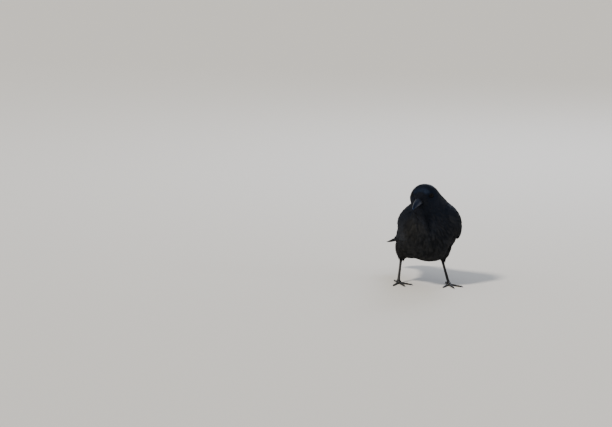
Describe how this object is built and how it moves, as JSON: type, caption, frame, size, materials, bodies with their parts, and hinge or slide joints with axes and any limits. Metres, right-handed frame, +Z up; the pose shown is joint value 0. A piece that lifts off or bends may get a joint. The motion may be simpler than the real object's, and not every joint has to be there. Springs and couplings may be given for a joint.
{
  "type": "carrion crow",
  "caption": "Life-size standing carrion crow with closed wings, a hunched body and its head turned to its right, as a still museum model.",
  "frame": {"origin": "middle of the bird's bounding box, on the ground under it", "axes": "+Z up, the bird's body faces -Y, its tail points to +Y, its right side is towards -X"},
  "size_m": [0.1502, 0.3696, 0.2326],
  "materials": {
    "plumage": "soft black feathers with a faint blue gloss",
    "horn": "satin black horn of the bill and claws",
    "leg_scales": "dull black scales",
    "eye": "wet, very dark brown"
  },
  "bodies": {
    "root": {"bill_lower": "horn", "bill_upper": "horn", "claw_left_hind": "horn", "claw_left_inner": "horn", "claw_left_middle": "horn", "claw_left_outer": "horn", "claw_right_hind": "horn", "claw_right_inner": "horn", "claw_right_middle": "horn", "claw_right_outer": "horn", "eye_left": "eye", "eye_right": "eye", "head": "plumage", "neck": "plumage", "tail": "plumage", "tarsus_left": "leg_scales", "tarsus_right": "leg_scales", "thigh_left": "plumage", "thigh_right": "plumage", "toe_left_hind": "leg_scales", "toe_left_inner": "leg_scales", "toe_left_middle": "leg_scales", "toe_left_outer": "leg_scales", "toe_right_hind": "leg_scales", "toe_right_inner": "leg_scales", "toe_right_middle": "leg_scales", "toe_right_outer": "leg_scales", "torso": "plumage", "wing_left": "plumage", "wing_right": "plumage"}
  },
  "joints": []
}
